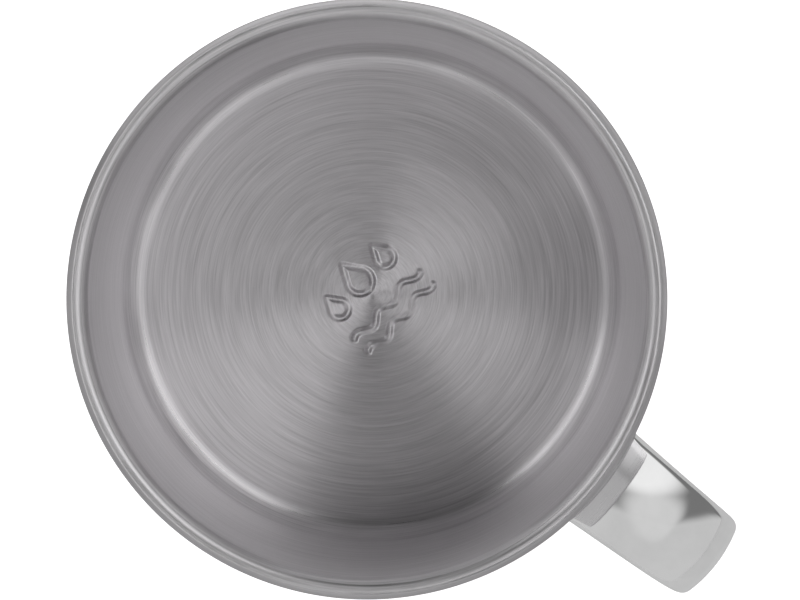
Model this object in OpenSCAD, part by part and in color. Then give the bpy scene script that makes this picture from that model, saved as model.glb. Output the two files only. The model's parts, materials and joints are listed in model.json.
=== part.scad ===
// Double-wall steel shaving mug: a brushed liner in an outer shell, with a hollow welded handle.
// The origin is the centre of the foot, on the mug's axis. +Z is up, and +X runs out along the handle.
// All sizes are in millimetres.

/* [Body] */
// Outside diameter of the mug
mug_d = 90; // [86:1:104]
// Height from the foot to the top of the lip
mug_h = 63; // [60:1:76]
// Thickness of the liner's and the shell's sheet
sheet_t = 0.5; // [0.4:0.05:0.6]
// Air gap between the liner and the shell
air_gap = 2.2; // [2:0.1:3.5]
// Height of the inside floor above the foot
floor_h = 7; // [5:0.5:10]
// Radius of the corner between the inside floor and the wall
floor_corner_r = 4; // [2:0.5:8]

/* [Lip] */
// Share of the lip's width that the liner's rolled edge takes
lip_share = 0.6; // [0.5:0.05:0.65]
// Width of the weld ring in the lip
rim_weld_w = 0.4; // [0.2:0.05:0.4]
// Depth of the weld ring below the top of the lip
rim_weld_dip = 0.08; // [0:0.02:0.2]

/* [Foot] */
// Radius of the shell's corner at the foot
foot_corner_r = 3; // [2:0.5:5]
// Width of the flat ring that the mug stands on
foot_flat_w = 2; // [1:0.25:4]
// Thickness of the base plate
plate_t = 0.6; // [0.5:0.1:0.8]
// Radius of the bend at the base plate's edge
plate_bend_r = 1.1; // [0.9:0.1:1.5]
// Height of the base plate's underside above the foot
plate_recess = 1.5; // [1.2:0.1:2.5]
// Width of the weld ring round the base plate
base_weld_w = 0.4; // [0.3:0.05:0.6]
// Diameter of the vent hole in the base plate
vent_d = 3; // [2:0.5:5]
// Diameter of the vent plug's head
plug_head_d = 6; // [5.5:0.5:9]
// Thickness of the vent plug's head
plug_head_t = 0.5; // [0.3:0.1:0.8]

/* [Handle] */
// Drop from the top of the lip to the crest of the handle
handle_drop = 7; // [5:0.5:10]
// Distance that the handle stands out from the shell
handle_reach = 23.3; // [22:0.1:32]
// Height of the middle of the handle's lower end
handle_low_z = 17; // [13:0.5:19]
// Width of the handle at its upper end
handle_w_top = 17; // [13:0.2:17]
// Width of the handle at its lower end
handle_w_low = 11.5; // [9:0.5:13]
// How the width runs from the upper end to the lower one: 1 is evenly, and more is quickly and then slowly
handle_taper = 1.6; // [1:0.1:2.4]
// Thickness of the handle
handle_t = 6.4; // [6.4:0.2:8]
// Thickness of the handle's sheet
handle_sheet = 0.8; // [0.6:0.1:1]
// Slope at which the handle leaves the shell at its upper end, in degrees
neck_slope = 22; // [12:1:26]
// Length of the straight neck at the handle's upper end, along the level
neck_run = 2.8; // [2.6:0.1:4]
// Radius of the upper bend, at the seam
bend_top_r = 8; // [6:0.5:9]
// Radius of the lower bend, at the seam
bend_low_r = 9; // [7:0.5:10]
// Lean of the handle's upright part towards the shell, in degrees
handle_lean = 5; // [0:1:8]
// Radius of the handle's edges
edge_r = 1.8; // [1.5:0.1:1.8]
// Radius of the crown across the handle's outer face
outer_crown_r = 22; // [22:1:60]
// Radius of the crown across the handle's finger side
inner_crown_r = 60; // [40:1:90]
// Width of the weld along each side of the handle
seam_w = 0.4; // [0.2:0.1:0.4]
// Size of the weld bead round each end of the handle
bead = 1.2; // [0.8:0.1:1.3]

/* [Mark] */
// Width of the stamped mark on the inside floor
mark_w = 17; // [12:0.5:20]
// Width of the mark's raised lines
mark_line = 1.3; // [1:0.1:1.5]
// Height of the mark's raised lines above the floor
mark_rise = 0.3; // [0.2:0.05:0.4]
// Turn of the mark about the mug's axis, in degrees
mark_turn = 86; // [0:1:359]

/* [Hidden] */
$fn = 128;

BRUSHED = [0.56, 0.55, 0.54];
POLISHED = [0.82, 0.82, 0.82];
WELD = [0.70, 0.69, 0.67];

// Radii and heights of the body
mug_r = mug_d / 2;
inner_r = mug_r - 2 * sheet_t - air_gap;
lip_w = mug_r - inner_r;
lip_r = lip_w * lip_share;
weld_in_r = inner_r + lip_r;
weld_out_r = weld_in_r + rim_weld_w;
shell_lip_r = mug_r - weld_out_r;
wall_low_z = floor_h + floor_corner_r;
foot_in_r = mug_r - foot_corner_r - foot_flat_w;
plate_r = foot_in_r - base_weld_w;
plate_top_z = plate_recess + plate_t;
// Gap that keeps the base plate's edge and its weld off the surface that the mug stands on
edge_lift = 0.1;

// Corners and lengths of the handle's path: up the neck, over the arch, round the bend, down the leg,
// round, and back. The clearance keeps the flat facets at the handle's ends from cutting into the shell.
clearance = 0.02;
attach_r = mug_r + clearance;
crest_z = mug_h - handle_drop - handle_t / 2;
top_bend_x = mug_r + handle_reach - handle_t / 2 - bend_top_r;
top_bend_z = crest_z - bend_top_r;
arch_r = (top_bend_x - mug_r - neck_run) / sin(neck_slope);
arch_z = crest_z - arch_r;
root_z = arch_z + arch_r * cos(neck_slope) - neck_run * tan(neck_slope);
leg_x = top_bend_x + bend_top_r * cos(handle_lean);
leg_z = top_bend_z - bend_top_r * sin(handle_lean);
leg_len = (leg_z - handle_low_z - bend_low_r * (1 - sin(handle_lean))) / cos(handle_lean);
low_bend_x = leg_x - leg_len * sin(handle_lean) - bend_low_r * cos(handle_lean);
low_bend_z = handle_low_z + bend_low_r;
low_run = low_bend_x - mug_r;
top_turn = 90 + handle_lean;
low_turn = 90 - handle_lean;
neck_len = neck_run / cos(neck_slope);
arch_len = arch_r * neck_slope * PI / 180;
top_arc = bend_top_r * top_turn * PI / 180;
low_arc = bend_low_r * low_turn * PI / 180;
top_start = neck_len + arch_len;
leg_start = top_start + top_arc;
low_start = leg_start + leg_len;
path_len = low_start + low_arc + low_run;
run_steps = 4;
arch_steps = 5;
bend_steps = 9;
corner_steps = 4;
crown_steps = 6;
bead_steps = 4;

// Shape of the floor's mark
mark_waves = 3;
wave_height = mark_w * 0.04;
wave_steps = 36;
drop_steps = 20;

// Width of the handle at a distance s along its path
function width_at(s) = handle_w_low + (handle_w_top - handle_w_low) * pow(1 - s / path_len, handle_taper);

// Stations along the path, each [x, z, turn, s]: turn is the angle from the level, positive downwards
stations = concat(
    [for (i = [0 : arch_steps - 1])
        let (turn = neck_slope * (i / arch_steps - 1))
        [top_bend_x + arch_r * sin(turn), arch_z + arch_r * cos(turn), turn, neck_len + arch_len * i / arch_steps]],
    [for (i = [0 : bend_steps])
        let (turn = top_turn * i / bend_steps)
        [top_bend_x + bend_top_r * sin(turn), top_bend_z + bend_top_r * cos(turn), turn,
         top_start + top_arc * i / bend_steps]],
    [for (i = [1 : run_steps - 1])
        let (d = leg_len * i / run_steps)
        [leg_x - d * sin(handle_lean), leg_z - d * cos(handle_lean), top_turn, leg_start + d]],
    [for (i = [0 : bend_steps])
        let (turn = top_turn + low_turn * i / bend_steps)
        [low_bend_x + bend_low_r * sin(turn), low_bend_z + bend_low_r * cos(turn), turn,
         low_start + low_arc * i / bend_steps]],
    [for (i = [1 : run_steps - 1])
        let (d = low_run * i / run_steps)
        [low_bend_x - d, handle_low_z, 180, path_len - low_run + d]]
);

function reversed(list) = [for (i = [len(list) - 1 : -1 : 0]) list[i]];

// Half of the handle's outline, from its left edge over the crown to its right edge, moved in by inset
function half_outline(w, crown_r, inset) =
    let (
        corner_x = w / 2 - edge_r,
        reach = crown_r - edge_r,
        tilt = asin(corner_x / reach),
        crown_z = handle_t / 2 - crown_r,
        corner_z = crown_z + sqrt(reach * reach - corner_x * corner_x),
        r = edge_r - inset,
        right = [for (i = [0 : corner_steps])
            let (a = tilt + (90 - tilt) * i / corner_steps)
            [corner_x + r * sin(a), corner_z + r * cos(a)]],
        crown = [for (i = [1 : crown_steps - 1])
            let (a = tilt * (2 * i / crown_steps - 1))
            [(crown_r - inset) * sin(a), crown_z + (crown_r - inset) * cos(a)]],
        edge = [w / 2 - inset, seam_w / 2]
    )
    concat(
        [[-edge[0], edge[1]]],
        [for (p = reversed(right)) [-p[0], p[1]]],
        crown,
        right,
        [edge]
    );

function mirrored(points) = [for (p = points) [p[0], -p[1]]];

// The handle's whole outline at its end, moved out by grow
function whole_outline(w, grow) = concat(
    half_outline(w, outer_crown_r, -grow),
    reversed(mirrored(half_outline(w, inner_crown_r, -grow)))
);

// A section point [across, out] at a station
function at_station(p, st) = [st[0] + p[1] * sin(st[2]), p[0], st[1] + p[1] * cos(st[2])];

// A section point at a distance off the shell, where the path meets it at a height z and a slope.
// Up is 1 where the section's outer side faces up, and -1 where it faces down.
function at_shell(p, z, slope, up, off) =
    let (x = sqrt(attach_r * attach_r - p[0] * p[0]) + off)
    [x, p[0], z + (x - mug_r) * tan(slope) + up * p[1] / cos(slope)];

// Closed section loops, at each width, of the two sheets and of the weld between them
function outer_sheet(w) = concat(
    half_outline(w, outer_crown_r, 0),
    reversed(half_outline(w, outer_crown_r, handle_sheet))
);
function inner_sheet(w) = mirrored(concat(
    half_outline(w, inner_crown_r, handle_sheet),
    reversed(half_outline(w, inner_crown_r, 0))
));
function seam_strip(w, side) =
    let (
        far = side * w / 2,
        near = side * (w / 2 - handle_sheet),
        left = min(far, near),
        right = max(far, near)
    )
    [[left, seam_w / 2], [right, seam_w / 2], [right, -seam_w / 2], [left, -seam_w / 2]];

// Section kinds, for the sweep of each handle node
OUTER = 0;
INNER = 1;
LEFT_SEAM = 2;
RIGHT_SEAM = 3;
function section(kind, w) =
    kind == OUTER ? outer_sheet(w) :
    kind == INNER ? inner_sheet(w) :
    kind == LEFT_SEAM ? seam_strip(w, -1) :
    seam_strip(w, 1);

// Flattens a list of loops into one list of points
function flat(loops) = [for (loop = loops) for (p = loop) p];

// Triangles between loop a and loop b, of n points each, in one list of points
function band(a, b, n) = [
    for (k = [0 : n - 1])
        let (next = (k + 1) % n)
        for (t = [[a * n + k, b * n + next, b * n + k], [a * n + k, a * n + next, b * n + next]]) t
];

// Triangles that close the end of a channel, between its outer and its inner line
function end_cap(start, n, flip) = [
    for (k = [0 : n / 2 - 2])
        let (q = [start + k, start + k + 1, start + n - 2 - k, start + n - 1 - k])
        for (t = [[q[0], q[1], q[2]], [q[0], q[2], q[3]]])
            flip ? [t[2], t[1], t[0]] : t
];

// Sweeps one section kind along the handle's path, with both ends on the shell
module handle_sweep(kind) {
    top = section(kind, handle_w_top);
    low = section(kind, handle_w_low);
    loops = concat(
        [for (off = [0, bead]) [for (p = top) at_shell(p, root_z, neck_slope, 1, off)]],
        [for (st = stations) [for (p = section(kind, width_at(st[3]))) at_station(p, st)]],
        [for (off = [bead, 0]) [for (p = low) at_shell(p, handle_low_z, 0, -1, off)]]
    );
    n = len(top);
    m = len(loops);
    polyhedron(
        points = flat(loops),
        faces = concat(
            [for (j = [0 : m - 2]) each band(j, j + 1, n)],
            end_cap(0, n, true),
            end_cap((m - 1) * n, n, false)
        )
    );
}

// A fillet of weld round an end of the handle, at the path's slope there, with its flat back on the shell
module end_bead(w, slope) {
    rises = [for (i = [0 : bead_steps])
        let (a = 90 * (1 - i / bead_steps))
        [bead * (1 - sin(a)), bead * (1 - cos(a))]];
    lines = [for (rise = concat([[0, 0]], rises))
        [for (p = whole_outline(w, rise[0])) at_shell(p, 0, slope, 1, rise[1])]];
    n = len(lines[0]);
    m = len(lines);
    polyhedron(
        points = flat(lines),
        faces = [for (j = [0 : m - 1]) each band(j, (j + 1) % m, n)]
    );
}

// A quarter of a ring, in the quadrant that the signs sx and sy give
module quarter_ring(r_in, r_out, sx, sy) {
    intersection() {
        difference() {
            circle(r = r_out);
            circle(r = r_in);
        }
        translate([min(sx, 0) * r_out, min(sy, 0) * r_out])
            square(r_out);
    }
}

// A ring round the mug's axis with a rectangular section
module flat_ring(r_in, r_out, z_low, z_high) {
    rotate_extrude()
        translate([r_in, z_low])
            square([r_out - r_in, z_high - z_low]);
}

// Outline of a drop with a round foot of radius r, and its tip at a height of tip above the round's centre
function drop_points(r, tip) =
    let (lean = asin(r / tip))
    concat(
        [[0, tip]],
        [for (i = [0 : drop_steps])
            let (a = lean - (180 + 2 * lean) * i / drop_steps)
            [r * cos(a), r * sin(a)]]
    );

// A raised line round a drop
module drop_outline(r, tip) {
    inner = r - mark_line;
    difference() {
        polygon(drop_points(r, tip));
        polygon(drop_points(inner, tip * inner / r));
    }
}

// One side of a wavy line: side is 1 above the middle of the line and -1 below it
function wave_side(side) = [
    for (i = [0 : wave_steps])
        let (
            turn = 360 * mark_waves * i / wave_steps,
            slope = wave_height * cos(turn) * 2 * PI * mark_waves / mark_w,
            out = side * mark_line / 2 / sqrt(1 + slope * slope)
        )
        [(i / wave_steps - 0.5) * mark_w - out * slope, wave_height * sin(turn) + out]
];

// The floor's mark: three drops over two wavy lines
module floor_mark() {
    big_r = mark_w * 0.165;
    small_r = mark_w * 0.13;
    tip_ratio = 1.85;
    side_x = mark_w * 0.34;
    wave_gap = mark_w * 0.18;
    wave_y = -mark_w * 0.2;
    translate([0, big_r])
        drop_outline(big_r, big_r * tip_ratio);
    for (side = [-1, 1])
        translate([side * side_x, small_r])
            drop_outline(small_r, small_r * tip_ratio);
    for (i = [0, 1])
        translate([0, wave_y - i * wave_gap])
            polygon(concat(wave_side(1), reversed(wave_side(-1))));
}

module inner_cup() {
    corner_in_r = inner_r - floor_corner_r;
    color(BRUSHED) {
        rotate_extrude() {
            translate([0, floor_h - sheet_t])
                square([corner_in_r, sheet_t]);
            translate([corner_in_r, wall_low_z])
                quarter_ring(floor_corner_r, floor_corner_r + sheet_t, 1, -1);
            translate([inner_r, wall_low_z])
                square([sheet_t, mug_h - lip_r - wall_low_z]);
            translate([weld_in_r, mug_h - lip_r])
                quarter_ring(lip_r - sheet_t, lip_r, -1, 1);
        }
        // The mark reaches half a sheet into the floor, so that the two are one solid
        translate([0, 0, floor_h - sheet_t / 2])
            rotate([0, 0, mark_turn])
                linear_extrude(sheet_t / 2 + mark_rise)
                    floor_mark();
    }
}

module outer_shell() {
    color(POLISHED)
        rotate_extrude() {
            translate([weld_out_r, mug_h - shell_lip_r])
                quarter_ring(shell_lip_r - sheet_t, shell_lip_r, 1, 1);
            translate([mug_r - sheet_t, foot_corner_r])
                square([sheet_t, mug_h - shell_lip_r - foot_corner_r]);
            translate([mug_r - foot_corner_r, foot_corner_r])
                quarter_ring(foot_corner_r - sheet_t, foot_corner_r, 1, -1);
            translate([foot_in_r, 0])
                square([foot_flat_w, sheet_t]);
        }
}

module rim_weld() {
    color(WELD)
        flat_ring(weld_in_r, weld_out_r, mug_h - sheet_t, mug_h - rim_weld_dip);
}

module base_plate() {
    color(POLISHED)
        difference() {
            rotate_extrude() {
                translate([0, plate_recess])
                    square([plate_r - plate_bend_r, plate_t]);
                translate([plate_r - plate_bend_r, plate_top_z - plate_bend_r])
                    quarter_ring(plate_bend_r - plate_t, plate_bend_r, 1, 1);
                translate([plate_r - plate_t, edge_lift])
                    square([plate_t, plate_top_z - plate_bend_r - edge_lift]);
            }
            cylinder(d = vent_d, h = 2 * plate_top_z);
        }
}

module base_weld() {
    color(WELD)
        flat_ring(plate_r, foot_in_r, edge_lift, sheet_t);
}

module vent_plug() {
    color(WELD) {
        translate([0, 0, plate_recess - plug_head_t])
            cylinder(d = plug_head_d, h = plug_head_t);
        translate([0, 0, plate_recess - plug_head_t])
            cylinder(d = vent_d, h = plug_head_t + plate_t);
    }
}

module handle_outer_half() {
    color(POLISHED)
        handle_sweep(OUTER);
}

module handle_inner_half() {
    color(POLISHED)
        handle_sweep(INNER);
}

module handle_seam_weld() {
    color(WELD) {
        handle_sweep(LEFT_SEAM);
        handle_sweep(RIGHT_SEAM);
    }
}

module handle_upper_weld() {
    color(WELD)
        translate([0, 0, root_z])
            end_bead(handle_w_top, neck_slope);
}

module handle_lower_weld() {
    color(WELD)
        translate([0, 0, handle_low_z])
            mirror([0, 0, 1])
                end_bead(handle_w_low, 0);
}

inner_cup();
outer_shell();
rim_weld();
base_plate();
base_weld();
vent_plug();
handle_outer_half();
handle_inner_half();
handle_seam_weld();
handle_upper_weld();
handle_lower_weld();
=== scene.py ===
# The looks of the double-wall steel shaving mug: brushed liner, turned shell and hollow handle.
# Everything is in metres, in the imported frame: +Z up, +X out along the handle, origin at the foot.
import json
import math

import bpy
from mathutils import Matrix, Vector


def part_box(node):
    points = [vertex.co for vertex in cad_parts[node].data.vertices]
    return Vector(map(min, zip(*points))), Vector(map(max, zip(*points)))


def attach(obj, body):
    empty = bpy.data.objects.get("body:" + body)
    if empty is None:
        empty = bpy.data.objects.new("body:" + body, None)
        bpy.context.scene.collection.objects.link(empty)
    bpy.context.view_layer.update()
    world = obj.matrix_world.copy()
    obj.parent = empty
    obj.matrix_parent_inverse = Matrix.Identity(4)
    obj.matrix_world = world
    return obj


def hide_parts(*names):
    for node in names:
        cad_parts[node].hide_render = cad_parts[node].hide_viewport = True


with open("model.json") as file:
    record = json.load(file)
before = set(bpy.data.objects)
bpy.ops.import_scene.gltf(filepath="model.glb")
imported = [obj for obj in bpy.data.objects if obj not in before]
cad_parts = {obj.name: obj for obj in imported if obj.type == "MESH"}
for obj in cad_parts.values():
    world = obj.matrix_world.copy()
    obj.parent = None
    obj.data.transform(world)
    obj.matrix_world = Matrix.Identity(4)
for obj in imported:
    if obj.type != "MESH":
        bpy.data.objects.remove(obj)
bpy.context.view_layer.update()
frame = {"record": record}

MM = 0.001
TAU = 2 * math.pi

# ---------------------------------------------------------------- sizes

record = frame["record"]
mounts = {m["name"]: m for m in record["mounts"]}
shell_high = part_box("outer_shell")[1]
liner_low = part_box("inner_cup")[0]
plate_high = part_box("base_plate")[1]
plug_low, plug_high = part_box("vent_plug")
outer_half_low, outer_half_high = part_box("handle_outer_half")

# Body. The lip is dressed down to DRESSED_LIP below its top
SHEET = 0.5 * MM
DRESSED_LIP = 0.25 * MM
AIR_GAP = 2.2 * MM
FLOOR_CORNER = 4 * MM
LIP_SHARE = 0.6
RIM_WELD = 0.4 * MM
RIM_DIP = 0.08 * MM
inner_r = mounts["mouth_bore"]["dims"]["r_mm"] * MM
lip_w = 2 * SHEET + AIR_GAP
mug_r = inner_r + lip_w
mug_top = shell_high.z
floor_z = liner_low.z + SHEET
lip_r = lip_w * LIP_SHARE
weld_in_r = inner_r + lip_r
weld_out_r = weld_in_r + RIM_WELD
shell_lip_r = mug_r - weld_out_r

# Foot, base plate and vent plug
FOOT_CORNER = 3 * MM
FOOT_FLAT = 2 * MM
BASE_WELD = 0.4 * MM
PLATE = 0.6 * MM
PLATE_BEND = 1.1 * MM
EDGE_LIFT = 0.1 * MM
VENT_R = 1.5 * MM
PLUG_HEAD_R = 3 * MM
PLUG_EDGE = 0.25 * MM
foot_in_r = mug_r - FOOT_CORNER - FOOT_FLAT
plate_r = foot_in_r - BASE_WELD
plate_under_z = plate_high.z - PLATE

# Handle, along its seam line from the upper joint to the lower one
HANDLE_T = 6.4 * MM
HANDLE_SHEET = 0.8 * MM
HANDLE_W_TOP = 17 * MM
HANDLE_W_LOW = 11.5 * MM
HANDLE_TAPER = 1.6
NECK_SLOPE = math.radians(22)
NECK_RUN = 2.8 * MM
BEND_TOP = 8 * MM
BEND_LOW = 9 * MM
LEAN = math.radians(5)
EDGE_R = 1.8 * MM
OUTER_CROWN = 22 * MM
INNER_CROWN = 60 * MM
SEAM = 0.4 * MM
BEAD = 1.2 * MM
ATTACH_GAP = 0.02 * MM
attach_r = mug_r + ATTACH_GAP
crest_z = outer_half_high.z - HANDLE_T / 2
path_low_z = outer_half_low.z + HANDLE_T / 2

# Mark on the floor: its lines are rounded ridges, which reach MARK_SOFT past their width on each side
MARK_W = 17 * MM
MARK_R = 12 * MM
MARK_LINE = 1.3 * MM
MARK_RISE = 0.3 * MM
MARK_SOFT = 0.15 * MM
MARK_TURN = math.radians(86)
BIG_DROP_R = 0.165 * MARK_W
SMALL_DROP_R = 0.13 * MARK_W
DROP_SPREAD = 0.34 * MARK_W
TIP_RATIO = 1.85
WAVES = 3
WAVE_RISE = 0.04 * MARK_W
WAVE_DROP = 0.2 * MARK_W
WAVE_STEP = 0.18 * MARK_W

# Steps of the meshes
AROUND = 480
PLUG_AROUND = 96
MARK_RINGS = 100
ARCH_STEPS = 24
BEND_STEPS = 32
LEG_STEPS = 10
LOW_STEPS = 6
BEAD_STEPS = 8
AXIS_R = 1e-9


# ---------------------------------------------------------------- mesh helpers

def mesh_object(name, points, faces, sharp=35):
    """A smooth-shaded mesh piece, with edges sharper than the angle kept crisp."""
    mesh = bpy.data.meshes.new(name)
    mesh.from_pydata([tuple(p) for p in points], [], faces)
    mesh.validate()
    mesh.update()
    piece = bpy.data.objects.new(name, mesh)
    bpy.context.scene.collection.objects.link(piece)
    mesh.polygons.foreach_set("use_smooth", [True] * len(mesh.polygons))
    mesh.set_sharp_from_angle(angle=math.radians(sharp))
    return piece


def arc(cx, cz, r, start, end, steps):
    """Points of an arc in the r-z plane, angles in degrees from +r towards +z."""
    angles = [math.radians(start + (end - start) * i / steps) for i in range(steps + 1)]
    return [(cx + r * math.cos(a), cz + r * math.sin(a)) for a in angles]


def line(a, b, steps):
    """Points after a, up to and including b."""
    dr, dz = b[0] - a[0], b[1] - a[1]
    return [(a[0] + dr * i / steps, a[1] + dz * i / steps) for i in range(1, steps + 1)]


def lathe(name, profile, around=AROUND, height=None):
    """Turns a closed r-z outline about Z. height(x, y, z) lifts a point.

    The outline runs with the solid on its right, r across and z up, so that the faces look outwards.
    A point on the axis becomes a single vertex.
    """
    points, rings, faces = [], [], []
    turn = [TAU * k / around for k in range(around)]
    for r, z in profile:
        if r < AXIS_R:
            rings.append([len(points)])
            points.append((0, 0, z + (height(0, 0, z) if height else 0)))
            continue
        rings.append(list(range(len(points), len(points) + around)))
        for a in turn:
            x, y = r * math.cos(a), r * math.sin(a)
            points.append((x, y, z + (height(x, y, z) if height else 0)))
    for a, b in zip(rings, rings[1:] + rings[:1]):
        for k in range(around):
            n = (k + 1) % around
            if len(a) == 1 and len(b) == 1:
                continue
            if len(a) == 1:
                faces.append((a[0], b[k], b[n]))
            elif len(b) == 1:
                faces.append((a[k], b[0], a[n]))
            else:
                faces.append((a[k], b[k], b[n], a[n]))
    return mesh_object(name, points, faces)


# ---------------------------------------------------------------- the mug's body

def drop_distance(x, y, r, tip):
    """Distance from the outline of a drop with a round foot at the origin and its tip above it."""
    lean = math.asin(r / tip)
    x = abs(x)
    tangent = (r * math.cos(lean), r * math.sin(lean))
    side = (tangent[0], tangent[1] - tip)
    along = ((x * side[0]) + (y - tip) * side[1]) / (side[0] ** 2 + side[1] ** 2)
    if along < 1 and y > 0 or along < 0:
        along = max(along, 0)
        return math.hypot(x - along * side[0], y - tip - along * side[1])
    return abs(math.hypot(x, y) - r)


def wave_distance(x, y):
    """Distance from a wavy line along x, about the origin."""
    half = MARK_W / 2 - MARK_LINE / 2
    inside = min(max(x, -half), half)
    k = TAU * WAVES / MARK_W
    slope = WAVE_RISE * k * math.cos(k * (inside + MARK_W / 2))
    off = (y - WAVE_RISE * math.sin(k * (inside + MARK_W / 2))) / math.sqrt(1 + slope * slope)
    return math.hypot(off, x - inside)


def mark_height(x, y):
    """Height of the stamped mark above the floor: three drops over two wavy lines."""
    u = x * math.cos(MARK_TURN) + y * math.sin(MARK_TURN)
    v = -x * math.sin(MARK_TURN) + y * math.cos(MARK_TURN)
    distances = []
    for middle, reach in ((0, BIG_DROP_R), (-DROP_SPREAD, SMALL_DROP_R), (DROP_SPREAD, SMALL_DROP_R)):
        r = reach - MARK_LINE / 2
        distances.append(drop_distance(u - middle, v - reach, r, r * TIP_RATIO))
    for i in (0, 1):
        distances.append(wave_distance(u, v + WAVE_DROP + WAVE_STEP * i))
    t = max(1 - min(distances) / (MARK_LINE / 2 + MARK_SOFT), 0)
    return MARK_RISE * t * t * (3 - 2 * t)


def make_liner():
    """The pressed liner: marked floor, corner, wall and rolled lip, then back along its outside."""
    corner_r = inner_r - FLOOR_CORNER
    wall_low = floor_z + FLOOR_CORNER
    outline = [(0, floor_z)] + line((0, floor_z), (MARK_R, floor_z), MARK_RINGS)
    outline += line((MARK_R, floor_z), (corner_r, floor_z), 12)
    outline += arc(corner_r, wall_low, FLOOR_CORNER, -90, 0, 14)[1:]
    outline += line((inner_r, wall_low), (inner_r, mug_top - lip_r), 10)
    outline += arc(weld_in_r, mug_top - lip_r, lip_r, 180, 90, 14)[1:]
    outline += arc(weld_in_r, mug_top - lip_r, lip_r - SHEET, 90, 180, 10)
    outline += line((inner_r + SHEET, mug_top - lip_r), (inner_r + SHEET, wall_low), 4)
    outline += arc(corner_r, wall_low, FLOOR_CORNER + SHEET, 0, -90, 8)[1:]
    outline += [(0, floor_z - SHEET)]

    def height(x, y, z):
        on_floor = abs(z - floor_z) < SHEET / 4
        return mark_height(x, y) if on_floor and math.hypot(x, y) < MARK_R else 0

    return lathe("liner", outline, height=height)


def make_shell():
    """The outer wall, rolled inwards at the lip and turned in under the foot."""
    wall_in = mug_r - SHEET
    outline = arc(weld_out_r, mug_top - shell_lip_r, shell_lip_r, 90, 0, 10)
    outline += line((mug_r, mug_top - shell_lip_r), (mug_r, FOOT_CORNER), 10)
    outline += arc(mug_r - FOOT_CORNER, FOOT_CORNER, FOOT_CORNER, 0, -90, 12)[1:]
    outline += [(foot_in_r, 0), (foot_in_r, SHEET)]
    outline += arc(mug_r - FOOT_CORNER, FOOT_CORNER, FOOT_CORNER - SHEET, -90, 0, 8)
    outline += line((wall_in, FOOT_CORNER), (wall_in, mug_top - shell_lip_r), 4)
    outline += arc(weld_out_r, mug_top - shell_lip_r, shell_lip_r - SHEET, 0, 90, 6)[1:]
    return lathe("shell", outline)


def make_rim_weld():
    """The ring of weld between the two lips, dished along its middle."""
    low, edge = mug_top - SHEET, mug_top - RIM_DIP / 4
    outline = [(weld_in_r, low), (weld_out_r, low), (weld_out_r, edge)]
    outline += [((weld_in_r + weld_out_r) / 2, mug_top - RIM_DIP), (weld_in_r, edge)]
    return lathe("lip_weld", outline[::-1])


def make_base_plate():
    """The pressed plate inside the foot, with the vent hole in its middle and its edge bent down."""
    bend_z = plate_high.z - PLATE_BEND
    bend_r = plate_r - PLATE_BEND
    outline = [(VENT_R, plate_under_z)] + line((VENT_R, plate_under_z), (bend_r, plate_under_z), 6)
    outline += arc(bend_r, bend_z, PLATE_BEND - PLATE, 90, 0, 6)[1:]
    outline += [(plate_r - PLATE, EDGE_LIFT), (plate_r, EDGE_LIFT)]
    outline += arc(bend_r, bend_z, PLATE_BEND, 0, 90, 8)
    outline += [(VENT_R, plate_high.z)]
    return lathe("bottom_plate", outline[::-1])


def make_base_weld():
    """The ring of weld between the base plate's edge and the foot."""
    outline = [(plate_r, EDGE_LIFT), (foot_in_r, EDGE_LIFT), (foot_in_r, SHEET), (plate_r, SHEET)]
    return lathe("bottom_weld", outline[::-1])


def make_plug():
    """The plug in the vent hole, with its round-edged head under the plate."""
    low, top = plug_low.z, plug_high.z
    outline = [(0, low), (PLUG_HEAD_R - PLUG_EDGE, low)]
    outline += arc(PLUG_HEAD_R - PLUG_EDGE, low + PLUG_EDGE, PLUG_EDGE, -90, 0, 5)[1:]
    outline += [(PLUG_HEAD_R, plate_under_z), (VENT_R, plate_under_z), (VENT_R, top), (0, top)]
    return lathe("vent_button", outline[::-1], around=PLUG_AROUND)


# ---------------------------------------------------------------- the handle

top_bend_x = outer_half_high.x - HANDLE_T / 2 - BEND_TOP
top_bend_z = crest_z - BEND_TOP
arch_r = (top_bend_x - mug_r - NECK_RUN) / math.sin(NECK_SLOPE)
arch_z = crest_z - arch_r
root_z = arch_z + arch_r * math.cos(NECK_SLOPE) - NECK_RUN * math.tan(NECK_SLOPE)
leg_x = top_bend_x + BEND_TOP * math.cos(LEAN)
leg_z = top_bend_z - BEND_TOP * math.sin(LEAN)
leg_len = (leg_z - path_low_z - BEND_LOW * (1 - math.sin(LEAN))) / math.cos(LEAN)
low_bend_x = leg_x - leg_len * math.sin(LEAN) - BEND_LOW * math.cos(LEAN)
low_bend_z = path_low_z + BEND_LOW
low_run = low_bend_x - mug_r
top_turn = math.pi / 2 + LEAN
low_turn = math.pi / 2 - LEAN
neck_len = NECK_RUN / math.cos(NECK_SLOPE)
arch_arc = arch_r * NECK_SLOPE
top_arc = BEND_TOP * top_turn
low_arc = BEND_LOW * low_turn
path_len = neck_len + arch_arc + top_arc + leg_len + low_arc + low_run


def handle_width(s):
    """The handle's width at a distance s along it: it tapers from the upper joint to the lower one."""
    return HANDLE_W_LOW + (HANDLE_W_TOP - HANDLE_W_LOW) * (1 - s / path_len) ** HANDLE_TAPER


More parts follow.
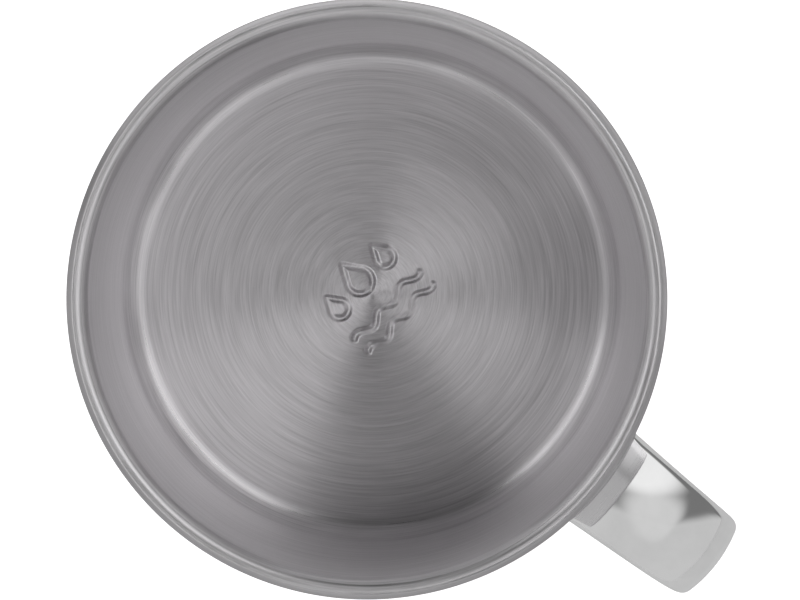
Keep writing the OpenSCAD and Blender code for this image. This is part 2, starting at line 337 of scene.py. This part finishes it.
def station(s):
    """Place and turn of the handle's seam line at a distance s along it: x, z, turn."""
    s -= neck_len
    if s <= arch_arc:
        turn = s / arch_r - NECK_SLOPE
        return top_bend_x + arch_r * math.sin(turn), arch_z + arch_r * math.cos(turn), turn
    s -= arch_arc
    if s <= top_arc:
        turn = s / BEND_TOP
        return top_bend_x + BEND_TOP * math.sin(turn), top_bend_z + BEND_TOP * math.cos(turn), turn
    s -= top_arc
    if s <= leg_len:
        return leg_x - s * math.sin(LEAN), leg_z - s * math.cos(LEAN), top_turn
    s -= leg_len
    if s <= low_arc:
        turn = top_turn + s / BEND_LOW
        return low_bend_x + BEND_LOW * math.sin(turn), low_bend_z + BEND_LOW * math.cos(turn), turn
    return low_bend_x - (s - low_arc), path_low_z, math.pi


def half_outline(w, crown_r, inset, corner_steps=10, crown_steps=16):
    """Half of the handle's outline, left edge to right edge over the crown, moved in by inset."""
    corner_x = w / 2 - EDGE_R
    reach = crown_r - EDGE_R
    tilt = math.asin(corner_x / reach)
    crown_z = HANDLE_T / 2 - crown_r
    corner_z = crown_z + math.sqrt(reach * reach - corner_x * corner_x)
    r = EDGE_R - inset
    turns = [tilt + (math.pi / 2 - tilt) * i / corner_steps for i in range(corner_steps + 1)]
    right = [(corner_x + r * math.sin(a), corner_z + r * math.cos(a)) for a in turns]
    left = [(-x, z) for x, z in reversed(right)]
    sweep = [tilt * (2 * i / crown_steps - 1) for i in range(1, crown_steps)]
    top = crown_r - inset
    crown = [(top * math.sin(a), crown_z + top * math.cos(a)) for a in sweep]
    edge = w / 2 - inset
    return [(-edge, SEAM / 2)] + left + crown + right + [(edge, SEAM / 2)]


def outer_section(w):
    """The pressed half away from the mug: out along its outside and back along its inside."""
    return half_outline(w, OUTER_CROWN, 0) + half_outline(w, OUTER_CROWN, HANDLE_SHEET)[::-1]


def inner_section(w):
    """The pressed half on the finger side, which is flatter."""
    loop = half_outline(w, INNER_CROWN, HANDLE_SHEET) + half_outline(w, INNER_CROWN, 0)[::-1]
    return [(x, -z) for x, z in loop]


def seam_section(side):
    """The weld seam between the halves, on one side of the handle."""
    def section(w):
        far, near = side * w / 2, side * (w / 2 - HANDLE_SHEET)
        left, right = min(far, near), max(far, near)
        return [(left, SEAM / 2), (right, SEAM / 2), (right, -SEAM / 2), (left, -SEAM / 2)]
    return section


def at_shell(p, z, up, off, slope=0.0):
    """A section point where the path meets the shell at a slope, moved out from the shell by off."""
    x = math.sqrt(attach_r ** 2 - p[0] ** 2) + off
    return x, p[0], z + (x - mug_r) * math.tan(slope) + up * p[1] / math.cos(slope)


def handle_loops(section):
    """Closed loops of one section, from the upper joint to the lower one."""
    stops = [neck_len + arch_arc * i / ARCH_STEPS for i in range(ARCH_STEPS)]
    stops += [neck_len + arch_arc + top_arc * i / BEND_STEPS for i in range(BEND_STEPS + 1)]
    start = neck_len + arch_arc + top_arc
    stops += [start + leg_len * i / LEG_STEPS for i in range(1, LEG_STEPS)]
    stops += [start + leg_len + low_arc * i / BEND_STEPS for i in range(BEND_STEPS + 1)]
    stops += [path_len - low_run + low_run * i / LOW_STEPS for i in range(1, LOW_STEPS - 1)]
    top, low = section(HANDLE_W_TOP), section(HANDLE_W_LOW)
    loops = [[at_shell(p, root_z, 1, off, NECK_SLOPE) for p in top] for off in (0, BEAD)]
    for s in stops:
        x, z, turn = station(s)
        out, up = math.sin(turn), math.cos(turn)
        loops.append([(x + q * out, p, z + q * up) for p, q in section(handle_width(s))])
    loops += [[at_shell(p, path_low_z, -1, off) for p in low] for off in (BEAD, 0)]
    return loops


def channel(loops, base):
    """Faces of a swept closed section, with both ends closed by strips across the sheet."""
    n = len(loops[0])
    faces = []
    for j in range(len(loops) - 1):
        for k in range(n):
            nk = (k + 1) % n
            a, b = base + j * n, base + (j + 1) * n
            faces.append((a + k, b + k, b + nk, a + nk))
    for start, flip in ((base, False), (base + (len(loops) - 1) * n, True)):
        for k in range(n // 2 - 1):
            quad = (start + k, start + k + 1, start + n - 2 - k, start + n - 1 - k)
            faces.append(quad[::-1] if flip else quad)
    return faces


def make_handle(name, sections):
    """A piece of the handle, swept along its seam line from one or more sections."""
    points, faces = [], []
    for section in sections:
        loops = handle_loops(section)
        faces += channel(loops, len(points))
        points += [p for loop in loops for p in loop]
    return mesh_object(name, points, faces)


def make_bead(name, w, z, up, slope=0.0):
    """A fillet of weld round the handle's end."""
    def whole(grow):
        under = [(x, -y) for x, y in half_outline(w, INNER_CROWN, -grow)]
        return half_outline(w, OUTER_CROWN, -grow) + under[::-1]

    turns = [math.pi / 2 * (1 - i / BEAD_STEPS) for i in range(BEAD_STEPS + 1)]
    rises = [(0, 0)] + [(BEAD * (1 - math.sin(a)), BEAD * (1 - math.cos(a))) for a in turns]
    loops = [[at_shell(p, z, up, off, slope) for p in whole(grow)] for grow, off in rises]
    n, m = len(loops[0]), len(loops)
    faces = []
    for j in range(m):
        for k in range(n):
            a, b, nk = j * n, (j + 1) % m * n, (k + 1) % n
            quad = (a + k, b + k, b + nk, a + nk)
            faces.append(quad[::-1] if up > 0 else quad)
    return mesh_object(name, [p for loop in loops for p in loop], faces)


# ---------------------------------------------------------------- materials

LINER_DARK = (0.56, 0.545, 0.56, 1)
LINER_LIGHT = (0.84, 0.82, 0.84, 1)
# Painted light: the liner's wall is given a lighter colour than its floor, standing in for light on the
# wall
LIT_WALL_DARK = (0.66, 0.645, 0.66, 1)
LIT_WALL_LIGHT = (0.88, 0.86, 0.88, 1)
LIP_DARK = (0.46, 0.45, 0.46, 1)
LIP_LIGHT = (0.70, 0.685, 0.70, 1)
# Painted shade: the shell's colours where it rolls into the lip and the foot, darker than its wall
SHADED_EDGE_DARK = (0.40, 0.39, 0.40, 1)
SHADED_EDGE_LIGHT = (0.62, 0.605, 0.62, 1)
BODY_DARK = (0.74, 0.73, 0.74, 1)
BODY_LIGHT = (0.80, 0.79, 0.80, 1)
HANDLE_DARK = (0.86, 0.86, 0.86, 1)
HANDLE_LIGHT = (0.92, 0.92, 0.92, 1)
BASE_DARK = (0.52, 0.51, 0.50, 1)
BASE_LIGHT = (0.60, 0.59, 0.58, 1)
WELD_DARK = (0.54, 0.53, 0.54, 1)
WELD_LIGHT = (0.64, 0.63, 0.64, 1)
WHITE = (1, 1, 1, 1)
BLACK = (0, 0, 0, 1)
CLOTH = (0.9, 0.9, 0.9, 1)

# Brush lines: noise cells to a metre across them and to a radian along them, and each layer's share
LINER_LINES = [(3800, 2.4, 0.5), (1500, 1.6, 0.35), (500, 1.0, 0.15)]
LIP_LINES = (2500, 2.4)
BODY_LINES = (2600, 1.5)
BODY_LINES_SHARE = 0.6
HAIRLINE_SCALE = (60, 60, 900)

# Wiping marks: the noise's scale, its detail and its roughness. Haze: its scale
BODY_WIPE = (45.0, 4.0, 0.65)
HAZE_SCALE = 120.0

# The part of each noise's range that goes from the darkest and smoothest to the lightest and roughest
LINER_RANGE = (0.36, 0.64)
MARKS_RANGE = (0.3, 0.7)
HAZE_RANGE = (0.35, 0.65)

# Roughness, from the smoothest place to the roughest
LINER_ROUGH = (0.35, 0.45)
LIP_ROUGH = (0.32, 0.42)
BODY_ROUGH = (0.25, 0.31)
HANDLE_ROUGH = (0.03, 0.06)
BASE_ROUGH = (0.25, 0.35)
WELD_ROUGH = (0.34, 0.44)
FLOOR_ROUGH = 0.9
CORNER_SMOOTHER = 0.10
EDGE_ROUGHER = 0.12
# FOOT_SHARE: how much of the lip's extra roughness and painted shade the foot gets
FOOT_SHARE = 0.5

# Shares of the floor corner's radius, measured inwards from the wall: where the wall's painted light (its
# lighter colour) fades in, and the middle and the half width of the burnished ring
WALL_FADE_FROM = 0.4
WALL_FADE_TO = 0.1
BURNISH_MIDDLE = 0.6
BURNISH_HALF = 0.45

# A brushed surface spreads its gloss across the brush lines, which run round the mug's axis
BRUSHED_SPREAD = 0.95
ACROSS_LINES = 0.25
BRUSH_DEPTH = 0.05 * MM
HAIRLINE_DEPTH = 0.02 * MM
LINER_BUMP = 0.2
LIP_BUMP = 0.15
BODY_BUMP = 0.06
POLISHED_BUMP = 0.02


class Nodes:
    """A short way to write a node tree."""

    def __init__(self, name):
        self.material = bpy.data.materials.new(name)
        self.material.use_nodes = True
        self.tree = self.material.node_tree
        self.shader = self.tree.nodes["Principled BSDF"]

    def add(self, kind, inputs=None, **settings):
        node = self.tree.nodes.new(kind)
        for key, value in settings.items():
            setattr(node, key, value)
        for key, value in (inputs or {}).items():
            self.put(node.inputs[key], value)
        return node

    def put(self, socket, value):
        if isinstance(value, bpy.types.NodeSocket):
            self.tree.links.new(value, socket)
        else:
            socket.default_value = value

    def math(self, operation, *values):
        node = self.add("ShaderNodeMath", operation=operation)
        for socket, value in zip(node.inputs, values):
            self.put(socket, value)
        return node.outputs[0]

    def ramp(self, value, low, high, to_low, to_high):
        inputs = {"Value": value, "From Min": low, "From Max": high, "To Min": to_low, "To Max": to_high}
        return self.add("ShaderNodeMapRange", inputs).outputs["Result"]

    def noise(self, vector, scale, detail=3.0, roughness=0.6):
        inputs = {"Vector": vector, "Scale": scale, "Detail": detail, "Roughness": roughness}
        return self.add("ShaderNodeTexNoise", inputs).outputs["Fac"]

    def mix(self, fac, a, b):
        node = self.add("ShaderNodeMix", data_type="RGBA")
        self.put(node.inputs[0], fac)
        self.put(node.inputs[6], a)
        self.put(node.inputs[7], b)
        return node.outputs[2]

    def bump(self, height, strength, depth):
        inputs = {"Height": height, "Strength": strength, "Distance": depth}
        self.put(self.shader.inputs["Normal"], self.add("ShaderNodeBump", inputs).outputs[0])

    def metal(self, brushed=False):
        self.shader.inputs["Metallic"].default_value = 1.0
        if brushed:
            tangent = self.add("ShaderNodeTangent", direction_type="RADIAL", axis="Z")
            self.put(self.shader.inputs["Tangent"], tangent.outputs[0])
            self.shader.inputs["Anisotropic"].default_value = BRUSHED_SPREAD
            self.shader.inputs["Anisotropic Rotation"].default_value = ACROSS_LINES


def axis_distance(n, place):
    """Distance from the mug's axis, the direction out from it, and the height."""
    split = n.add("ShaderNodeSeparateXYZ", {"Vector": place})
    flat = n.add("ShaderNodeCombineXYZ", {"X": split.outputs[0], "Y": split.outputs[1]}).outputs[0]
    distance = n.add("ShaderNodeVectorMath", {0: flat}, operation="LENGTH").outputs["Value"]
    outward = n.add("ShaderNodeVectorMath", {0: flat}, operation="NORMALIZE").outputs[0]
    return distance, outward, split.outputs[2]


def brush_lines(n, distance, outward, height, per_metre, per_radian):
    """Noise that changes fast across a turned surface and slowly round it, which makes brush lines."""
    turn = n.add("ShaderNodeSeparateXYZ", {"Vector": outward})
    across = n.math("MULTIPLY", n.math("ADD", distance, height), per_metre)
    u = n.math("MULTIPLY", turn.outputs[0], per_radian)
    v = n.math("MULTIPLY", turn.outputs[1], per_radian)
    place = n.add("ShaderNodeCombineXYZ", {"X": across, "Y": u, "Z": v}).outputs[0]
    return n.noise(place, 1.0)


def brushed_liner():
    """Steel turned with fine brush lines, and burnished a little smoother in the floor's corner. The wall
    is painted a lighter colour than the floor, as painted light.
    """
    n = Nodes("liner_brushed_steel")
    distance, outward, height = axis_distance(n, n.add("ShaderNodeTexCoord").outputs["Object"])
    lines = 0
    for per_metre, per_radian, share in LINER_LINES:
        layer = brush_lines(n, distance, outward, height, per_metre, per_radian)
        lines = n.math("ADD", lines, n.math("MULTIPLY", layer, share))
    shade = n.ramp(lines, *LINER_RANGE, 0, 1)
    wall_from, wall_to = inner_r - WALL_FADE_FROM * FLOOR_CORNER, inner_r - WALL_FADE_TO * FLOOR_CORNER
    # Painted light: towards the wall the liner's colour turns to the lighter wall colours
    wall = n.ramp(distance, wall_from, wall_to, 0, 1)
    floor_shade = n.mix(shade, LINER_DARK, LINER_LIGHT)
    wall_shade = n.mix(shade, LIT_WALL_DARK, LIT_WALL_LIGHT)
    n.put(n.shader.inputs["Base Color"], n.mix(wall, floor_shade, wall_shade))
    burnish_r = inner_r - BURNISH_MIDDLE * FLOOR_CORNER
    from_corner = n.math("ABSOLUTE", n.math("SUBTRACT", distance, burnish_r))
    corner = n.ramp(from_corner, 0, BURNISH_HALF * FLOOR_CORNER, 1, 0)
    finish = n.ramp(lines, *LINER_RANGE, *LINER_ROUGH)
    smoother = n.math("MULTIPLY", corner, CORNER_SMOOTHER)
    n.put(n.shader.inputs["Roughness"], n.math("SUBTRACT", finish, smoother))
    n.bump(lines, LINER_BUMP, BRUSH_DEPTH)
    n.metal(brushed=True)
    return n.material


def dressed_lip():
    """The liner's rolled edge, dressed smoother than the brushed wall."""
    n = Nodes("liner_dressed_lip")
    distance, outward, height = axis_distance(n, n.add("ShaderNodeTexCoord").outputs["Object"])
    lines = brush_lines(n, distance, outward, height, *LIP_LINES)
    shade = n.ramp(lines, *MARKS_RANGE, 0, 1)
    n.put(n.shader.inputs["Base Color"], n.mix(shade, LIP_DARK, LIP_LIGHT))
    n.put(n.shader.inputs["Roughness"], n.ramp(lines, *MARKS_RANGE, *LIP_ROUGH))
    n.bump(lines, LIP_BUMP, BRUSH_DEPTH)
    n.metal()
    return n.material


def polished(name, dark, light, rough):
    """Polished steel with a light haze of handling marks, and fine hairlines that break up its gloss."""
    n = Nodes(name)
    place = n.add("ShaderNodeTexCoord").outputs["Object"]
    haze = n.noise(place, HAZE_SCALE)
    n.put(n.shader.inputs["Base Color"], n.mix(n.ramp(haze, *HAZE_RANGE, 0, 1), dark, light))
    n.put(n.shader.inputs["Roughness"], n.ramp(haze, *HAZE_RANGE, *rough))
    stretched = n.add("ShaderNodeMapping", {"Vector": place, "Scale": HAIRLINE_SCALE}).outputs[0]
    n.bump(n.noise(stretched, 1.0), POLISHED_BUMP, HAIRLINE_DEPTH)
    n.metal()
    return n.material


def turned_body():
    """The outer shell: finely turned, rougher where it rolls into the lip and the foot, and painted
    darker there as painted shade.
    """
    n = Nodes("body_polished_steel")
    place = n.add("ShaderNodeTexCoord").outputs["Object"]
    distance, outward, height = axis_distance(n, place)
    lip = n.ramp(height, mug_top - 2 * shell_lip_r, mug_top - shell_lip_r, 0, 1)
    foot = n.ramp(height, FOOT_CORNER / 2, FOOT_CORNER, 1, 0)
    # The edge mask paints shade as well as adding roughness: a darker colour where the shell rolls into
    # the lip, and less of it at the foot
    edge = n.math("MAXIMUM", lip, n.math("MULTIPLY", foot, FOOT_SHARE))
    hairlines = brush_lines(n, distance, outward, height, *BODY_LINES)
    wiped = n.math("MULTIPLY", n.noise(place, *BODY_WIPE), 1 - BODY_LINES_SHARE)
    marks = n.math("ADD", n.math("MULTIPLY", hairlines, BODY_LINES_SHARE), wiped)
    shade = n.ramp(marks, *MARKS_RANGE, 0, 1)
    wall_shade = n.mix(shade, BODY_DARK, BODY_LIGHT)
    edge_painted_shade = n.mix(shade, SHADED_EDGE_DARK, SHADED_EDGE_LIGHT)
    n.put(n.shader.inputs["Base Color"], n.mix(edge, wall_shade, edge_painted_shade))
    finish = n.ramp(marks, *MARKS_RANGE, *BODY_ROUGH)
    rougher = n.math("MULTIPLY", edge, EDGE_ROUGHER)
    n.put(n.shader.inputs["Roughness"], n.math("ADD", finish, rougher))
    n.bump(hairlines, BODY_BUMP, HAIRLINE_DEPTH)
    n.metal(brushed=True)
    return n.material


def floor_material():
    """A plain white light table."""
    n = Nodes("studio_floor")
    n.shader.inputs["Base Color"].default_value = CLOTH
    n.shader.inputs["Roughness"].default_value = FLOOR_ROUGH
    n.shader.inputs["Emission Color"].default_value = WHITE
    n.shader.inputs["Emission Strength"].default_value = FLOOR_GLOW
    return n.material


def tent_material():
    """Cloth that glows about the directions in TENT_GLOWS, and fades to TENT_DIM elsewhere."""
    n = Nodes("studio_tent")
    n.shader.inputs["Base Color"].default_value = BLACK
    n.shader.inputs["Specular IOR Level"].default_value = 0.0
    n.shader.inputs["Emission Color"].default_value = WHITE
    place = n.add("ShaderNodeTexCoord").outputs["Object"]
    way = n.add("ShaderNodeVectorMath", {0: place}, operation="NORMALIZE").outputs[0]
    glow = 0
    for bearing, elevation, fade_from, fade_to, radiance in TENT_GLOWS:
        inputs = {0: way, 1: tuple(view_way(bearing, elevation))}
        facing = n.add("ShaderNodeVectorMath", inputs, operation="DOT_PRODUCT").outputs["Value"]
        inputs = {"Value": facing, "From Min": fade_from, "From Max": fade_to, "To Max": radiance}
        fade = n.add("ShaderNodeMapRange", inputs, interpolation_type="SMOOTHSTEP")
        glow = n.math("SMOOTH_MAX", fade.outputs["Result"], glow, TENT_BLEND)
    n.put(n.shader.inputs["Emission Strength"], n.math("ADD", glow, TENT_DIM))
    return n.material


# ---------------------------------------------------------------- build

def dress(piece, material, node):
    """Gives a piece its material, hangs it under the root body, and hides the CAD part it stands in for.
    """
    piece.data.materials.append(material)
    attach(piece, "root")
    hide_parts(node)
    return piece


steel_liner = brushed_liner()
steel_body = turned_body()
steel_handle = polished("handle_polished_steel", HANDLE_DARK, HANDLE_LIGHT, HANDLE_ROUGH)
steel_base = polished("base_satin_steel", BASE_DARK, BASE_LIGHT, BASE_ROUGH)
steel_weld = polished("weld_dressed_steel", WELD_DARK, WELD_LIGHT, WELD_ROUGH)

liner = dress(make_liner(), steel_liner, "inner_cup")
liner.data.materials.append(dressed_lip())
for face in liner.data.polygons:
    face.material_index = int(face.center.z > mug_top - DRESSED_LIP)
rim_weld = dress(make_rim_weld(), steel_weld, "rim_weld")
liner_pieces = [liner, rim_weld]
shell = dress(make_shell(), steel_body, "outer_shell")
outer_pieces = [
    shell,
    dress(make_base_plate(), steel_base, "base_plate"),
    dress(make_base_weld(), steel_weld, "base_weld"),
    dress(make_plug(), steel_base, "vent_plug"),
]
front = make_handle("handle_front", [outer_section])
back = make_handle("handle_back", [inner_section])
seams = make_handle("handle_seams", [seam_section(-1), seam_section(1)])
upper_bead = make_bead("upper_bead", HANDLE_W_TOP, root_z, 1, NECK_SLOPE)
lower_bead = make_bead("lower_bead", HANDLE_W_LOW, path_low_z, -1)
outer_pieces += [
    dress(front, steel_handle, "handle_outer_half"),
    dress(back, steel_handle, "handle_inner_half"),
    dress(seams, steel_handle, "handle_seam_weld"),
    dress(upper_bead, steel_weld, "handle_upper_weld"),
    dress(lower_bead, steel_weld, "handle_lower_weld"),
]


# ---------------------------------------------------------------- studio

# The camera stands over the mouth, turned so that the handle points down to the right
VIEW_TURN = math.radians(37.45)
CAMERA_LENS = 129.6
CAMERA_SENSOR = 36
CAMERA_CLIP = (0.01, 20)
CAMERA_RISE = 430 * MM
CAMERA_RIGHT = 7.08 * MM
CAMERA_UP = 10.02 * MM
CAMERA_TILT_RIGHT = 0.004876
CAMERA_TILT_UP = 0.02334

FLOOR_HALF = 3.0
FLOOR_GLOW = 0.9
TENT_R = 2.6
TENT_AROUND = 72
TENT_UPWARD = 18
TENT_DIM = 0.11
TENT_BLEND = 0.25
# Each glow: its bearing and elevation, the cosines where it starts and is full, and its radiance
TENT_GLOWS = [(258, 0, -0.1, 0.1, 0.48), (92, 50, 0.82, 0.96, 0.80), (0, 90, 0.84, 0.98, 0.56)]

# Each overhead box: its name, its width in degrees and its radiance
FLOOR_BOX = ("floor_box", 120, 0.14)
LINER_BOX = ("liner_fill", 130, 0.055)
# Each row of soft boxes: its name, elevations from and to, bearings from and to, and its radiance
BOX_R = 1.5
ROW_STEP = 40
LINER_ROWS = [
    ("right_row", 35, 80, -70, 10, 0.78),
    ("left_row", 20, 60, 170, 290, 0.73),
    ("top_row", 74, 85, 210, 290, 1.1),
    ("upper_left_row", 35, 60, 130, 170, 1.75),
    ("upper_right_row", 45, 74, 10, 70, 1.66),
    ("far_row", 0, 20, 70, 130, 1.05),
]
EDGE_ROW = ("edge_row", 5, 45, -10, 150, 0.9)

view_right = Vector((math.cos(VIEW_TURN), math.sin(VIEW_TURN), 0))
view_up = Vector((-math.sin(VIEW_TURN), math.cos(VIEW_TURN), 0))


def make_camera():
    """Almost straight above the mouth, with the handle towards the lower right."""
    data = bpy.data.cameras.new("camera")
    data.lens = CAMERA_LENS
    data.sensor_width = CAMERA_SENSOR
    data.clip_start, data.clip_end = CAMERA_CLIP
    camera = bpy.data.objects.new("camera", data)
    bpy.context.scene.collection.objects.link(camera)
    place = view_right * CAMERA_RIGHT + view_up * CAMERA_UP + Vector((0, 0, mug_top + CAMERA_RISE))
    back = Vector((0, 0, 1)) + view_right * CAMERA_TILT_RIGHT + view_up * CAMERA_TILT_UP
    back.normalize()
    right = (view_right - back * view_right.dot(back)).normalized()
    up = back.cross(right)
    turn = Matrix((right, up, back)).transposed()
    camera.matrix_world = Matrix.Translation(place) @ turn.to_4x4()
    bpy.context.scene.camera = camera


def receivers_of(name, pieces):
    """The pieces that one light falls on."""
    group = bpy.data.collections.new(name + "_receivers")
    for piece in pieces:
        group.objects.link(piece)
    return group


def view_way(bearing, elevation):
    """A direction from the mug. Bearing 0 degrees is the right of the camera's view, and 90 its top."""
    turn, rise = math.radians(bearing), math.radians(elevation)
    flat = view_right * math.cos(turn) + view_up * math.sin(turn)
    return flat * math.cos(rise) + Vector((0, 0, math.sin(rise)))


def make_floor(pieces):
    """A light table. Its own glow falls only on the pieces listed."""
    half = FLOOR_HALF
    points = [(-half, -half, 0), (half, -half, 0), (half, half, 0), (-half, half, 0)]
    floor = mesh_object("studio_floor", points, [(0, 1, 2, 3)])
    floor.data.materials.append(floor_material())
    floor.light_linking.receiver_collection = receivers_of("floor", pieces)
    return floor


def make_tent(pieces):
    """A round tent of cloth over the mug, whose soft glows light only the pieces listed."""
    points, faces = [], []
    for j in range(TENT_UPWARD + 1):
        for i in range(TENT_AROUND):
            points.append(view_way(360 * i / TENT_AROUND, 90 * j / TENT_UPWARD) * TENT_R)
    for j in range(TENT_UPWARD):
        low, high = j * TENT_AROUND, (j + 1) * TENT_AROUND
        for i in range(TENT_AROUND):
            n = (i + 1) % TENT_AROUND
            faces.append((low + i, high + i, high + n, low + n))
    tent = mesh_object("studio_tent", points, faces)
    tent.data.materials.append(tent_material())
    tent.visible_camera = False
    tent.light_linking.receiver_collection = receivers_of("tent", pieces)


def soft_box(name, bearing, elevation, wide, high, radiance, pieces, shape="RECTANGLE"):
    """A flat soft box on a dome about the mug, which lights only the pieces listed.

    The bearing and the elevation say where its middle is, and wide and high how much of the dome it
    fills, all in degrees.
    """
    way = view_way(bearing, elevation)
    data = bpy.data.lights.new(name, "AREA")
    data.shape = shape
    data.size = 2 * BOX_R * math.tan(math.radians(wide) / 2)
    data.size_y = 2 * BOX_R * math.tan(math.radians(high) / 2)
    fill = math.pi / 4 if shape == "ELLIPSE" else 1
    data.energy = radiance * math.pi * data.size * data.size_y * fill
    lamp = bpy.data.objects.new(name, data)
    lamp.location = way * BOX_R + Vector((0, 0, mug_top / 2))
    lamp.rotation_euler = way.to_track_quat("Z", "Y").to_euler()
    lamp.visible_camera = False
    lamp.light_linking.receiver_collection = receivers_of(name, pieces)
    bpy.context.scene.collection.objects.link(lamp)


def overhead_box(name, wide, radiance, pieces):
    """A round soft box straight above the mug."""
    soft_box(name, 0, 90, wide, wide, radiance, pieces, "ELLIPSE")


def soft_row(name, low, high, start, end, radiance, pieces):
    """A row of flat soft boxes from the elevation low to high, and from the bearing start to end."""
    count = max(1, round((end - start) / ROW_STEP))
    step = (end - start) / count
    middle = (low + high) / 2
    half_wide = math.atan(math.tan(math.radians(step / 2)) * math.cos(math.radians(middle)))
    wide = 2 * math.degrees(half_wide)
    for i in range(count):
        bearing = start + step * (i + 0.5)
        soft_box(f"{name}_{i + 1}", bearing, middle, wide, high - low, radiance, pieces)


def make_backdrop():
    """A plain white world, which only the camera sees past the tent."""
    world = bpy.data.worlds.new("studio")
    bpy.context.scene.world = world
    world.use_nodes = True
    backdrop = world.node_tree.nodes["Background"]
    backdrop.inputs["Color"].default_value = WHITE
    backdrop.inputs["Strength"].default_value = 1.0


make_camera()
make_backdrop()
floor = make_floor(liner_pieces)
make_tent(outer_pieces + [floor])
overhead_box(*FLOOR_BOX, [floor])
overhead_box(*LINER_BOX, liner_pieces)
for row in LINER_ROWS:
    soft_row(*row, liner_pieces)
soft_row(*EDGE_ROW, [shell])
bpy.context.scene.view_settings.view_transform = "Standard"
